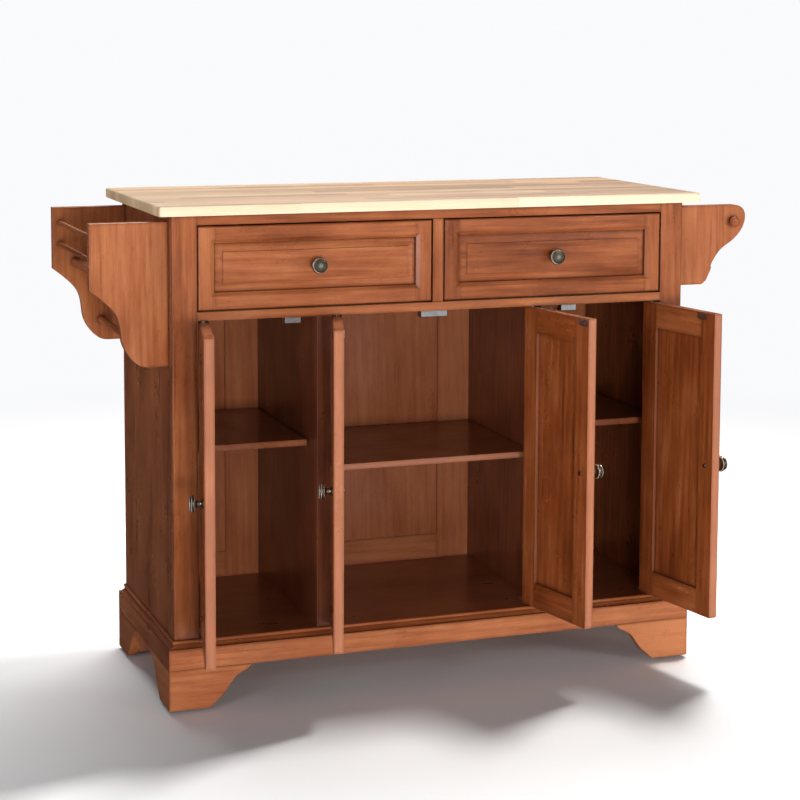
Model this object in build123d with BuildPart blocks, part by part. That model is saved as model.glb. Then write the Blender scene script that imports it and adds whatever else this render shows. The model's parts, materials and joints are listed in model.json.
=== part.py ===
from build123d import *
import os

os.makedirs("parts", exist_ok=True)

# Kitchen island cabinet. X runs along the front, Y from the front to the back, Z up.
# X = 0 is the middle of the cabinet, Y = 0 the middle of the top, Z = 0 the floor.
# Every size is in millimetres.

# Worktop
overall_height = 914
top_length = 1060
top_depth = 457
top_thickness = 18
top_edge_radius = 3
top_corner_radius = 5
top_underside = overall_height - top_thickness

# Cabinet body
body_half = 503
body_front = -206
body_back = 200
body_bottom = 130
frame_thickness = 19
frame_back = body_front + frame_thickness
opening_half = 457
side_thickness = 18
side_inside = body_half - side_thickness
post_edge_radius = 3.5
seam_bevel = 1.2
rail_ease = 1.5
# Width of the hairline joint between glued pieces, and how far its cut runs past them
glue_gap = 0.15
joint_overrun = 1

# Front rails and the two drawer openings
top_rail_bottom = 877.5
mid_rail_top = 723
mid_rail_bottom = 706.5
centre_stile_half = 10.5
deck_thickness = 12
divider_half = 10
guide_height = 18
guide_gap = 1

# Partitions beside the middle compartment
partition_inside = 208
partition_outside = 234.5
partition_thickness = 15

# Base: floor panel, moulding, plinth and bracket feet
floor_bottom = 117
plinth_half = 518
plinth_front = -227
plinth_bottom = 80.5
plinth_thickness = 18
moulding_bead_height = 7
moulding_cove_height = 2.6
moulding_toe_height = 1.2
foot_bottom = 6
foot_thickness = 18
foot_block = 42
glide_radius = 12.5
glide_inset = 30
glide_edge_radius = 2
# Foot outline: distance in from the corner and height, up the curved edge
foot_curve = [(74, 6), (86, 16), (103, 32), (114, 48), (126, 61.5), (142, 70), (150, 75)]
foot_length = 153

# Back: frame and three thin panels
back_thickness = 12
back_front = body_back - back_thickness
back_rail_low = 180
back_rail_high = 836
back_stile_in = 151
back_stile_out = 302
back_end_stile = 425
back_panel_thickness = 4
back_groove_depth = 6
back_panel_edge_play = 1

# Shelves and their pins
shelf_front = -150
shelf_thickness = 12
outer_shelf_top = 469.5
centre_shelf_top = 417.5
shelf_gap = 1.5
pin_radius = 2.5
pin_depth = 6
pin_reach = 9
pin_rows = (-105, 140)

# Doors, all the same height; the outer pair is wider than the middle pair
door_bottom = 131.5
door_top = 704.5
door_gap = 2.5
outer_door_width = 217.5
middle_door_width = 203.5
door_stile = 40
door_rail = 47
pivot_in = 11
pivot_back = 9.5
door_angles = (102, 107, 101, 100)
knob_from_edge = 21

# Framed fronts: eased outside edge, sloped inside lip, groove and raised panel
face_ease = 4
lip_width = 7
lip_depth = 4.5
groove_front = 8.6
groove_back = 13.2
groove_depth = 7
panel_play = 0.2
tongue = 6
bevel_width = 16
bevel_rise = 4
field_front = 3
field_edge_radius = 0.8
panel_back = 13

# Drawers
drawer_gap = 2
drawer_stile = 30
drawer_rail = 31
box_inset = 10
box_thickness = 12
box_height = 120
box_lift = 0.4
box_depth = 330
box_floor_lift = 8
box_floor_thickness = 6
box_floor_groove = 5
box_floor_tongue = 4

# Knobs and their screws
knob_base_radius = 8
knob_base_height = 1.6
knob_neck_radius = 5
# Turned outline from the base to the nose: radius and distance from the seat
knob_curve = [(6, 3.4), (5, 7.5), (6.5, 12.5), (13.5, 15.2), (15, 17.6), (12.4, 21.2), (0, 25)]
knob_tangents = [(-0.6, -1), (-1, 0)]
screw_radius = 2
screw_gap = 0.1
screw_in_knob = 9
screw_hole_in_knob = 10
screw_head_radius = 4
screw_head_height = 2.2
screw_head_edge = 1

# Pivot hinges: a plate and pin on the cabinet, a leaf in the door's end
hinge_pin_radius = 2.5
hinge_hole_radius = 2.55
hinge_wood_radius = 3.2
plate_thickness = 1.5
plate_width = 12
top_plate_length = 30
floor_plate_length = 60
leaf_length = 34
leaf_past_pin = 6
pin_into_door = 7
pin_hole_spare = 2

# Catches behind the middle rail and their strike plates on the doors
catch_front = -185.4
catch_depth = 19
catch_height = 19
catch_flange = 3
catch_ear = 5.5
catch_edge = 1
catch_single = 41
catch_double = 62
outer_catch_x = 274
catch_screw_radius = 2.2
catch_screw_height = 1.2
magnet_half = 11
middle_magnet_x = 13
magnet_groove = 1
magnet_groove_heights = (4, 11)
strike_width = 26
strike_height = 12
strike_thickness = 1
strike_corner_radius = 2
strike_from_top = 1.5
middle_strike_x = 18

# Spice rack on the left side
bracket_front = -179
bracket_thickness = 18
bracket_ease = 1
back_bracket_front = 172
rack_top = 883
rack_reach = 141
rack_bottom = 624
# Rack bracket outline below its straight outer edge: distance out and height
rack_curve = [(141, 765), (111, 740.5), (94, 720.5), (87, 698), (82.5, 667.5), (63, 636), (35, 624)]
rack_tangents = [(-0.8, -0.6), (-1, 0)]
rack_shelf_top = 785
rack_shelf_thickness = 14
rack_shelf_reach = 105
rack_rail_radius = 4.5
rack_rail_out = 128
rack_rail_heights = (854, 813)
rack_dowel_radius = 6.5
rack_dowel_out = 50
rack_dowel_height = 665
dowel_depth = 9

# Towel bar on the right side
towel_top = 885
towel_bottom = 730.5
# Towel bracket outline, round the nose and down from the top edge: distance out and height
towel_curve = [(122, 885), (151, 853), (121, 813), (93.5, 792), (78, 766), (68, 738)]
towel_tangents = [(1, 0), (-0.5, -1)]
towel_toe = (58, 730.5)
towel_bar_out = 124
towel_bar_height = 852
towel_bar_radius = 7
towel_knob_radius = 10.5
towel_knob_length = 15
towel_knob_neck = 3

made = {}


def slab(x_span, y_span, z_span, mode=Mode.ADD):
    """A flat-sided block between the given limits, in the part being built."""
    with BuildSketch(Plane.XY.offset(z_span[0])) as outline:
        with Locations((sum(x_span) / 2, sum(y_span) / 2)):
            Rectangle(x_span[1] - x_span[0], y_span[1] - y_span[0])
    extrude(outline.sketch, amount=z_span[1] - z_span[0], mode=mode)


def both_sides(low, high):
    """The span on the right side of the cabinet and its mirror on the left."""
    return [(low, high), (-high, -low)]


def rod(centre, direction, radius, length, mode=Mode.ADD):
    """A round bar from a point along a direction, in the part being built."""
    with BuildSketch(Plane(origin=centre, z_dir=direction)) as outline:
        Circle(radius)
    extrude(outline.sketch, amount=length, mode=mode)


def keep(name, part):
    """Name a finished piece and hold it for export."""
    part.label = name
    made[name] = part


# ---------------------------------------------------------------- worktop
with BuildPart() as butcher_block_top:
    top_x = (-top_length / 2, top_length / 2)
    top_y = (-top_depth / 2, top_depth / 2)
    slab(top_x, top_y, (top_underside, overall_height))
    fillet(butcher_block_top.edges().filter_by(Axis.Z), top_corner_radius)
    fillet(butcher_block_top.faces().sort_by(Axis.Z)[-1].edges(), top_edge_radius)
keep("butcher_block_top", butcher_block_top.part)

# ---------------------------------------------------------------- body sides
for side_name, sign in (("left", -1), ("right", 1)):
    inner_x = sign * opening_half
    outer_x = sign * body_half
    with BuildPart() as front_stile:
        slab(sorted((inner_x, outer_x)), (body_front, frame_back), (body_bottom, top_underside))
        outer_edges = front_stile.edges().filter_by(Axis.Z).filter_by_position(
            Axis.X, outer_x - seam_bevel, outer_x + seam_bevel
        )
        fillet(outer_edges.sort_by(Axis.Y)[0], post_edge_radius)
        seam_edges = front_stile.edges().filter_by(Axis.Z).group_by(Axis.Y)[-1]
        chamfer(seam_edges.sort_by(Axis.X)[0 if sign < 0 else -1], seam_bevel)
    keep(f"front_stile_{side_name}", front_stile.part)

    wall_x = sign * side_inside
    with BuildPart() as side_panel:
        slab(sorted((wall_x, outer_x)), (frame_back, body_back), (body_bottom, top_underside))
        seam_edges = side_panel.edges().filter_by(Axis.Z).group_by(Axis.Y)[0]
        chamfer(seam_edges.sort_by(Axis.X)[0 if sign < 0 else -1], seam_bevel)
        for pin_y in pin_rows:
            pin_z = outer_shelf_top - shelf_thickness - pin_radius
            rod((wall_x, pin_y, pin_z), (sign, 0, 0), pin_radius, pin_depth, Mode.SUBTRACT)
    keep(f"side_panel_{side_name}", side_panel.part)

# ---------------------------------------------------------------- front rails
with BuildPart() as top_rail:
    slab((-opening_half, opening_half), (body_front, frame_back), (top_rail_bottom, top_underside))
    fillet(top_rail.edges().filter_by(Axis.X).group_by(Axis.Z)[0].sort_by(Axis.Y)[0], rail_ease)
keep("top_rail", top_rail.part)

pivot_y = body_front + pivot_back
outer_pivot_x = opening_half - door_gap - pivot_in
middle_pivot_x = partition_inside - door_gap - pivot_in
pivot_xs = [-outer_pivot_x, -middle_pivot_x, middle_pivot_x, outer_pivot_x]
hinge_signs = [-1, -1, 1, 1]
plate_back_y = pivot_y + floor_plate_length - plate_width / 2
plate_front_y = pivot_y - plate_width / 2
top_plate_spans = []
for pivot_x, sign in zip(pivot_xs, hinge_signs):
    near_x = pivot_x + sign * plate_width / 2
    top_plate_spans.append(sorted((near_x, near_x - sign * top_plate_length)))

with BuildPart() as mid_rail:
    slab((-opening_half, opening_half), (body_front, frame_back), (mid_rail_bottom, mid_rail_top))
    fillet(mid_rail.edges().filter_by(Axis.X).group_by(Axis.Y)[0], rail_ease)
    for x_span in top_plate_spans:
        plate_z = (mid_rail_bottom, mid_rail_bottom + plate_thickness)
        slab(x_span, (plate_front_y, plate_front_y + plate_width), plate_z, Mode.SUBTRACT)
keep("mid_rail", mid_rail.part)

with BuildPart() as drawer_centre_stile:
    stile_x = (-centre_stile_half, centre_stile_half)
    slab(stile_x, (body_front, frame_back), (mid_rail_top, top_rail_bottom))
    fillet(drawer_centre_stile.edges().filter_by(Axis.Z).group_by(Axis.Y)[0], rail_ease)
keep("drawer_centre_stile", drawer_centre_stile.part)

# ---------------------------------------------------------------- drawer deck with its guide strips
box_outer_in = centre_stile_half + drawer_gap + box_inset
box_outer_out = opening_half - drawer_gap - box_inset
deck_bottom = mid_rail_top - deck_thickness
with BuildPart() as drawer_deck:
    slab((-side_inside, side_inside), (frame_back, back_front), (deck_bottom, mid_rail_top))
keep("drawer_deck", drawer_deck.part)

with BuildPart() as drawer_guides:
    guide_z = (mid_rail_top, mid_rail_top + guide_height)
    guide_y = (frame_back, frame_back + box_depth)
    for x_span in both_sides(divider_half, box_outer_in - guide_gap):
        slab(x_span, guide_y, guide_z)
    for x_span in both_sides(box_outer_out + guide_gap, side_inside):
        slab(x_span, guide_y, guide_z)
keep("drawer_guides", drawer_guides.part)

with BuildPart() as drawer_divider:
    slab((-divider_half, divider_half), (frame_back, back_front), (mid_rail_top, top_underside))
keep("drawer_divider", drawer_divider.part)

# ---------------------------------------------------------------- partitions
panel_inside = partition_outside - partition_thickness
for side_name, sign in (("left", -1), ("right", 1)):
    with BuildPart() as partition:
        stile_span = sorted((sign * partition_inside, sign * partition_outside))
        slab(stile_span, (body_front, frame_back - glue_gap), (body_bottom, mid_rail_bottom))
        fillet(partition.edges().filter_by(Axis.Z).group_by(Axis.Y)[0], rail_ease)
        panel_span = sorted((sign * panel_inside, sign * partition_outside))
        slab(panel_span, (frame_back, back_front), (body_bottom, deck_bottom))
        for pin_y in pin_rows:
            outer_pin = (sign * partition_outside, pin_y, outer_shelf_top - shelf_thickness - pin_radius)
            rod(outer_pin, (-sign, 0, 0), pin_radius, pin_depth, Mode.SUBTRACT)
            inner_pin = (sign * panel_inside, pin_y, centre_shelf_top - shelf_thickness - pin_radius)
            rod(inner_pin, (sign, 0, 0), pin_radius, pin_depth, Mode.SUBTRACT)
    keep(f"partition_{side_name}", partition.part)

# ---------------------------------------------------------------- floor panel and base moulding
with BuildPart() as floor_panel:
    slab((-body_half, body_half), (body_front, body_back), (floor_bottom, body_bottom))
    for pivot_x in pivot_xs:
        plate_x = (pivot_x - plate_width / 2, pivot_x + plate_width / 2)
        plate_z = (body_bottom - plate_thickness, body_bottom)
        slab(plate_x, (plate_front_y, plate_back_y), plate_z, Mode.SUBTRACT)
keep("floor_panel", floor_panel.part)


def moulding_profile(plane, direction, reach):
    """The base moulding's section: a bead at the top, then a cove out to the plinth's edge."""
    bead = reach / 3
    with BuildSketch(plane) as section:
        with BuildLine():
            Polyline((0, floor_bottom), (0, body_bottom), (direction * bead / 2, body_bottom))
            ThreePointArc(
                (direction * bead / 2, body_bottom),
                (direction * bead, body_bottom - moulding_bead_height / 2),
                (direction * bead / 2, body_bottom - moulding_bead_height),
            )
            toe = (direction * reach, floor_bottom + moulding_toe_height)
            Spline(
                (direction * bead / 2, body_bottom - moulding_bead_height),
                (direction * bead, floor_bottom + moulding_cove_height),
                toe,
            )
            Polyline(toe, (direction * reach, floor_bottom), (0, floor_bottom))
        make_face()
    return section.sketch


front_reach = body_front - plinth_front
side_reach = plinth_half - body_half
moulding_height = body_bottom - floor_bottom
front_plane = Plane(origin=(-plinth_half, body_front, 0), x_dir=(0, 1, 0), z_dir=(1, 0, 0))
front_section = moulding_profile(front_plane, -1, front_reach)
with BuildPart() as moulding_front:
    extrude(front_section, amount=2 * plinth_half)
    with BuildSketch(Plane.XY.offset(floor_bottom)) as front_plan:
        with BuildLine():
            Polyline(
                (-body_half, body_front),
                (body_half, body_front),
                (plinth_half, plinth_front),
                (-plinth_half, plinth_front),
                close=True,
            )
        make_face()
    extrude(front_plan.sketch, amount=moulding_height, mode=Mode.INTERSECT)

moulding_sides = []
for sign in (-1, 1):
    side_plane = Plane(origin=(sign * body_half, body_back, 0), x_dir=(1, 0, 0), z_dir=(0, -1, 0))
    side_section = moulding_profile(side_plane, sign, side_reach)
    with BuildPart() as moulding_side:
        extrude(side_section, amount=body_back - plinth_front)
        with BuildSketch(Plane.XY.offset(floor_bottom)) as side_plan:
            with BuildLine():
                Polyline(
                    (sign * body_half, body_front),
                    (sign * plinth_half, plinth_front),
                    (sign * plinth_half, body_back),
                    (sign * body_half, body_back),
                    close=True,
                )
            make_face()
        extrude(side_plan.sketch, amount=moulding_height, mode=Mode.INTERSECT)
    moulding_sides.append(moulding_side.part)


def corner_slot(inner, outer, z_span):
    """The hairline joint between two mitred pieces, cut out of the part being built."""
    with BuildSketch(Plane.XY.offset(z_span[0])) as slot:
        with BuildLine():
            Polyline(
                (inner[0] - glue_gap / 2, inner[1]),
                (outer[0] - glue_gap / 2, outer[1]),
                (outer[0] + glue_gap / 2, outer[1]),
                (inner[0] + glue_gap / 2, inner[1]),
                close=True,
            )
        make_face()
    extrude(slot.sketch, amount=z_span[1] - z_span[0], mode=Mode.SUBTRACT)


with BuildPart() as base_moulding:
    add(moulding_front.part)
    for moulding_part in moulding_sides:
        add(moulding_part)
    for sign in (-1, 1):
        # The slot runs a little past both ends of the mitre
        inner = (sign * (body_half - side_reach), body_front + front_reach)
        outer = (sign * (plinth_half + side_reach), plinth_front - front_reach)
        corner_slot(inner, outer, (floor_bottom, body_bottom))
keep("base_moulding", base_moulding.part)

# ---------------------------------------------------------------- plinth boards
with BuildPart() as plinth_boards:
    slab((-plinth_half, plinth_half), (plinth_front, body_back), (plinth_bottom, floor_bottom))
    hollow_half = plinth_half - plinth_thickness
    hollow_y = (plinth_front + plinth_thickness, body_back - plinth_thickness)
    slab((-hollow_half, hollow_half), hollow_y, (plinth_bottom, floor_bottom), Mode.SUBTRACT)
    for sign in (-1, 1):
        for corner_y, inward in ((plinth_front, 1), (body_back, -1)):
            inner_y = corner_y + inward * (plinth_thickness + joint_overrun)
            inner = (sign * (hollow_half - joint_overrun), inner_y)
            outer = (sign * (plinth_half + joint_overrun), corner_y - inward * joint_overrun)
            corner_slot(inner, outer, (plinth_bottom, floor_bottom))
keep("plinth_boards", plinth_boards.part)

# ---------------------------------------------------------------- bracket feet
with BuildSketch() as foot_outline:
    with BuildLine():
        Polyline((0, foot_bottom), foot_curve[0])
        Spline(*foot_curve)
        Polyline(foot_curve[-1], (foot_length, plinth_bottom), (0, plinth_bottom), (0, foot_bottom))
    make_face()

for foot_name, x_sign, foot_y, y_in in (
    ("front_left", -1, plinth_front, 1),
    ("front_right", 1, plinth_front, 1),
    ("back_left", -1, body_back, -1),
    ("back_right", 1, body_back, -1),
):
    corner = (x_sign * plinth_half, foot_y, 0)
    along_front = Plane(origin=corner, x_dir=(-x_sign, 0, 0), z_dir=(0, x_sign, 0))
    along_side = Plane(origin=corner, x_dir=(0, y_in, 0), z_dir=(y_in, 0, 0))
    with BuildPart() as bracket_foot:
        extrude(along_front * foot_outline.sketch, amount=foot_thickness * y_in * x_sign)
        extrude(along_side * foot_outline.sketch, amount=-foot_thickness * x_sign * y_in)
        inner_x = x_sign * (plinth_half - foot_thickness - joint_overrun)
        inner = (inner_x, foot_y + y_in * (foot_thickness + joint_overrun))
        outer = (x_sign * (plinth_half + joint_overrun), foot_y - y_in * joint_overrun)
        corner_slot(inner, outer, (foot_bottom, plinth_bottom))
        block_near = x_sign * (plinth_half - foot_thickness - glue_gap)
        block_front = foot_y + y_in * (foot_thickness + glue_gap)
        slab(
            sorted((block_near, block_near - x_sign * foot_block)),
            sorted((block_front, block_front + y_in * foot_block)),
            (foot_bottom, plinth_bottom),
        )
    keep(f"bracket_foot_{foot_name}", bracket_foot.part)

with BuildPart() as foot_glides:
    for x_sign in (-1, 1):
        glide_x = x_sign * (plinth_half - glide_inset)
        for glide_y in (plinth_front + glide_inset, body_back - glide_inset):
            rod((glide_x, glide_y, 0), (0, 0, 1), glide_radius, foot_bottom)
    fillet(foot_glides.edges().group_by(Axis.Z)[0], glide_edge_radius)
keep("foot_glides", foot_glides.part)

# ---------------------------------------------------------------- back frame and panels
panel_y = back_front + (back_thickness - back_panel_thickness) / 2
panel_openings = [
    (-back_end_stile, -back_stile_out),
    (-back_stile_in, back_stile_in),
    (back_stile_out, back_end_stile),
]
with BuildPart() as back_frame:
    slab((-side_inside, side_inside), (back_front, body_back), (body_bottom, top_underside))
    for low, high in panel_openings:
        slab((low, high), (back_front, body_back), (back_rail_low, back_rail_high), Mode.SUBTRACT)
        groove_x = (low - back_groove_depth, high + back_groove_depth)
        groove_y = (panel_y, panel_y + back_panel_thickness)
        groove_z = (back_rail_low - back_groove_depth, back_rail_high + back_groove_depth)
        slab(groove_x, groove_y, groove_z, Mode.SUBTRACT)
        for seam_x in (low, high):
            seam = (seam_x - glue_gap / 2, seam_x + glue_gap / 2)
            slab(seam, (back_front, body_back), (body_bottom, back_rail_low), Mode.SUBTRACT)
            slab(seam, (back_front, body_back), (back_rail_high, top_underside), Mode.SUBTRACT)
keep("back_frame", back_frame.part)

with BuildPart() as back_panels:
    reach = back_groove_depth - back_panel_edge_play
    for low, high in panel_openings:
        slab(
            (low - reach, high + reach),
            (panel_y + panel_play, panel_y + back_panel_thickness - panel_play),
            (back_rail_low - reach, back_rail_high + reach),
        )
keep("back_panels", back_panels.part)

# ---------------------------------------------------------------- shelves
shelf_spans = {
    "left": (-side_inside + shelf_gap, -partition_outside - shelf_gap, outer_shelf_top),
    "centre": (-panel_inside + shelf_gap, panel_inside - shelf_gap, centre_shelf_top),
    "right": (partition_outside + shelf_gap, side_inside - shelf_gap, outer_shelf_top),
}
for shelf_name, (low, high, shelf_top) in shelf_spans.items():
    with BuildPart() as shelf:
        slab((low, high), (shelf_front, back_front - shelf_gap), (shelf_top - shelf_thickness, shelf_top))
        fillet(shelf.edges().filter_by(Axis.X).group_by(Axis.Y)[0], rail_ease)
    keep(f"shelf_{shelf_name}", shelf.part)

with BuildPart() as shelf_pins:
    for low, high, shelf_top in shelf_spans.values():
        pin_z = shelf_top - shelf_thickness - pin_radius
        for pin_y in pin_rows:
            rod((low - shelf_gap - pin_depth, pin_y, pin_z), (1, 0, 0), pin_radius, pin_depth + pin_reach)
            rod((high + shelf_gap + pin_depth, pin_y, pin_z), (-1, 0, 0), pin_radius, pin_depth + pin_reach)
keep("shelf_pins", shelf_pins.part)

# ---------------------------------------------------------------- spice rack
bracket_ys = {"front": bracket_front, "back": back_bracket_front}
with BuildSketch() as rack_outline:
    with BuildLine():
        Polyline((0, rack_bottom), (0, rack_top), (rack_reach, rack_top), rack_curve[0])
        Spline(*rack_curve, tangents=rack_tangents)
        Line(rack_curve[-1], (0, rack_bottom))
    make_face()

rack_dowels = [(rack_rail_out, height, rack_rail_radius) for height in rack_rail_heights]
rack_dowels.append((rack_dowel_out, rack_dowel_height, rack_dowel_radius))
for bracket_name, bracket_y in bracket_ys.items():
    rack_plane = Plane(origin=(-body_half, bracket_y, 0), x_dir=(-1, 0, 0), z_dir=(0, 1, 0))
    inner_face = bracket_y + (bracket_thickness if bracket_name == "front" else 0)
    into = -1 if bracket_name == "front" else 1
    with BuildPart() as rack_bracket:
        extrude(rack_plane * rack_outline.sketch, amount=bracket_thickness)
        outline_edges = rack_bracket.faces().filter_by(Axis.Y).edges()
        free_edges = outline_edges.filter_by(lambda edge: edge.center().X < -body_half - bracket_ease)
        chamfer(free_edges, bracket_ease)
        for out, height, radius in rack_dowels:
            rod((-body_half - out, inner_face, height), (0, into, 0), radius, dowel_depth, Mode.SUBTRACT)
    keep(f"spice_rack_{bracket_name}_bracket", rack_bracket.part)

rack_inside = (bracket_front + bracket_thickness, back_bracket_front)
with BuildPart() as spice_rack_shelf:
    rack_shelf_z = (rack_shelf_top - rack_shelf_thickness, rack_shelf_top)
    slab((-body_half - rack_shelf_reach, -body_half), rack_inside, rack_shelf_z)
    fillet(spice_rack_shelf.edges().filter_by(Axis.Y).group_by(Axis.X)[0], rail_ease)
keep("spice_rack_shelf", spice_rack_shelf.part)

rail_length = rack_inside[1] - rack_inside[0] + 2 * dowel_depth
with BuildPart() as spice_rack_rails:
    for out, height, radius in rack_dowels:
        rod((-body_half - out, rack_inside[0] - dowel_depth, height), (0, 1, 0), radius, rail_length)
keep("spice_rack_rails", spice_rack_rails.part)

# ---------------------------------------------------------------- towel bar
with BuildSketch() as towel_outline:
    with BuildLine():
        Polyline((0, towel_bottom), (0, towel_top), towel_curve[0])
        Spline(*towel_curve, tangents=towel_tangents)
        Polyline(towel_curve[-1], towel_toe, (0, towel_bottom))
    make_face()

for bracket_name, bracket_y in bracket_ys.items():
    towel_plane = Plane(origin=(body_half, bracket_y, 0), x_dir=(1, 0, 0), z_dir=(0, -1, 0))
    with BuildPart() as towel_bracket:
        extrude(towel_plane * towel_outline.sketch, amount=-bracket_thickness)
        outline_edges = towel_bracket.faces().filter_by(Axis.Y).edges()
        free_edges = outline_edges.filter_by(lambda edge: edge.center().X > body_half + bracket_ease)
        chamfer(free_edges, bracket_ease)
        bar_hole = (body_half + towel_bar_out, bracket_y, towel_bar_height)
        rod(bar_hole, (0, 1, 0), towel_bar_radius, bracket_thickness, Mode.SUBTRACT)
    keep(f"towel_{bracket_name}_bracket", towel_bracket.part)

bar_front = bracket_front
bar_back = back_bracket_front + bracket_thickness
bar_x = body_half + towel_bar_out
with BuildPart() as end_knob:
    with BuildSketch(Plane.XY) as knob_section:
        with BuildLine():
            Polyline((0, 0), (towel_bar_radius, 0), (towel_bar_radius, -towel_knob_neck))
            Spline(
                (towel_bar_radius, -towel_knob_neck),
                (towel_knob_radius, -towel_knob_length / 2),
                (0, -towel_knob_length),
                tangents=[(1, -0.2), (-1, 0)],
            )
            Line((0, -towel_knob_length), (0, 0))
        make_face()
    revolve(knob_section.sketch, axis=Axis.Y)

with BuildPart() as towel_bar:
    rod((bar_x, bar_front, towel_bar_height), (0, 1, 0), towel_bar_radius, bar_back - bar_front)
    add(Pos(bar_x, bar_front - glue_gap, towel_bar_height) * end_knob.part)
    add(Pos(bar_x, bar_back + glue_gap, towel_bar_height) * Rot(0, 0, 180) * end_knob.part)
keep("towel_bar", towel_bar.part)

# ---------------------------------------------------------------- catches and hinge plates
with BuildPart() as magnetic_catches:
    catch_y = (catch_front, catch_front + catch_depth)
    catch_low = deck_bottom - catch_height
    flange_z = (deck_bottom - catch_flange, deck_bottom)
    catches = ((0, catch_double), (-outer_catch_x, catch_single), (outer_catch_x, catch_single))
    for centre, width in catches:
        body_half_width = width / 2 - catch_ear
        slab((centre - body_half_width, centre + body_half_width), catch_y, (catch_low, flange_z[0]))
    chamfer(magnetic_catches.edges().filter_by(Axis.X).group_by(Axis.Z)[0], catch_edge)
    for centre, width in catches:
        slab((centre - width / 2, centre + width / 2), catch_y, flange_z)
        for ear_x in (centre - (width - catch_ear) / 2, centre + (width - catch_ear) / 2):
            ear = (ear_x, catch_front + catch_depth / 2, flange_z[0])
            rod(ear, (0, 0, -1), catch_screw_radius, catch_screw_height)
    for centre in (-outer_catch_x, -middle_magnet_x, middle_magnet_x, outer_catch_x):
        for groove_height in magnet_groove_heights:
            groove_x = (centre - magnet_half, centre + magnet_half)
            groove_y = (catch_front, catch_front + magnet_groove)
            groove_low = catch_low + groove_height
            slab(groove_x, groove_y, (groove_low, groove_low + magnet_groove), Mode.SUBTRACT)
keep("magnetic_catches", magnetic_catches.part)

pin_length = plate_thickness + (mid_rail_bottom - door_top) + pin_into_door
with BuildPart() as cabinet_hinge_plates:
    upper_z = (mid_rail_bottom, mid_rail_bottom + plate_thickness)
    lower_z = (body_bottom - plate_thickness, body_bottom)
    for x_span, pivot_x in zip(top_plate_spans, pivot_xs):
        slab(x_span, (plate_front_y, plate_front_y + plate_width), upper_z)
        rod((pivot_x, pivot_y, upper_z[1]), (0, 0, -1), hinge_pin_radius, pin_length)
        plate_x = (pivot_x - plate_width / 2, pivot_x + plate_width / 2)
        slab(plate_x, (plate_front_y, plate_back_y), lower_z)
        rod((pivot_x, pivot_y, lower_z[0]), (0, 0, 1), hinge_pin_radius, pin_length)
keep("cabinet_hinge_plates", cabinet_hinge_plates.part)

# ---------------------------------------------------------------- knobs and framed fronts
def knob_with_screw(grip):
    """A turned knob seated at Y = 0 and the screw that holds it from behind, through the grip."""
    with BuildPart() as knob:
        with BuildSketch(Plane.XY) as knob_section:
            with BuildLine():
                curve = [(radius, -out) for radius, out in knob_curve]
                Polyline((0, 0), (knob_base_radius, 0), (knob_base_radius, -knob_base_height), curve[0])
                Spline(*curve, tangents=knob_tangents)
                Line(curve[-1], (0, 0))
            make_face()
        revolve(knob_section.sketch, axis=Axis.Y)
        rod((0, 0, 0), (0, -1, 0), screw_radius, screw_hole_in_knob, Mode.SUBTRACT)
        rod((0, -screw_in_knob, 0), (0, 1, 0), screw_radius - screw_gap, grip + screw_in_knob)
        rod((0, grip, 0), (0, 1, 0), screw_head_radius, screw_head_height)
        fillet(knob.edges().group_by(Axis.Y)[-1], screw_head_edge)
    return knob.part


def framed_front(width, height, stile, rail):
    """A front of four glued pieces, centred on the origin with its outer face at Y = 0."""
    inner_width = width - 2 * stile
    inner_height = height - 2 * rail
    with BuildPart() as frame:
        with BuildSketch(Plane.XZ) as outside:
            Rectangle(width, height)
        extrude(outside.sketch, amount=-frame_thickness)
        fillet(frame.faces().sort_by(Axis.Y)[0].edges(), face_ease)
        with BuildSketch(Plane.XZ) as opening:
            Rectangle(inner_width, inner_height)
        extrude(opening.sketch, amount=-frame_thickness, mode=Mode.SUBTRACT)
        with BuildSketch(Plane.XZ) as lip_outside:
            Rectangle(inner_width + 2 * lip_width, inner_height + 2 * lip_width)
        with BuildSketch(Plane.XZ.offset(-lip_depth)) as lip_inside:
            Rectangle(inner_width, inner_height)
        loft([lip_outside.sketch.face(), lip_inside.sketch.face()], mode=Mode.SUBTRACT)
        with BuildSketch(Plane.XZ.offset(-groove_front)) as groove:
            Rectangle(inner_width + 2 * groove_depth, inner_height + 2 * groove_depth)
        extrude(groove.sketch, amount=groove_front - groove_back, mode=Mode.SUBTRACT)
        for seam_x in (-inner_width / 2, inner_width / 2):
            seam = (seam_x - glue_gap / 2, seam_x + glue_gap / 2)
            slab(seam, (0, frame_thickness), (inner_height / 2, height / 2), Mode.SUBTRACT)
            slab(seam, (0, frame_thickness), (-height / 2, -inner_height / 2), Mode.SUBTRACT)
    return frame.part


def raised_panel(width, height, stile, rail):
    """The loose panel that fills a framed front, with a bevelled border round a raised field."""
    inner_width = width - 2 * stile
    inner_height = height - 2 * rail
    field_width = inner_width - 2 * bevel_width
    field_height = inner_height - 2 * bevel_width
    tongue_front = groove_front + panel_play
    with BuildPart() as panel:
        with BuildSketch(Plane.XZ.offset(-tongue_front)) as tongue_outline:
            Rectangle(inner_width + 2 * tongue, inner_height + 2 * tongue)
        extrude(tongue_outline.sketch, amount=tongue_front - panel_back)
        with BuildSketch(Plane.XZ.offset(-tongue_front)) as bevel_outside:
            Rectangle(inner_width - 2 * panel_play, inner_height - 2 * panel_play)
        with BuildSketch(Plane.XZ.offset(bevel_rise - tongue_front)) as bevel_inside:
            Rectangle(field_width, field_height)
        loft([bevel_outside.sketch.face(), bevel_inside.sketch.face()])
        with BuildSketch(Plane.XZ.offset(-tongue_front)) as field:
            Rectangle(field_width, field_height)
        extrude(field.sketch, amount=tongue_front - field_front)
        fillet(panel.faces().sort_by(Axis.Y)[0].edges(), field_edge_radius)
    return panel.part


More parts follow.
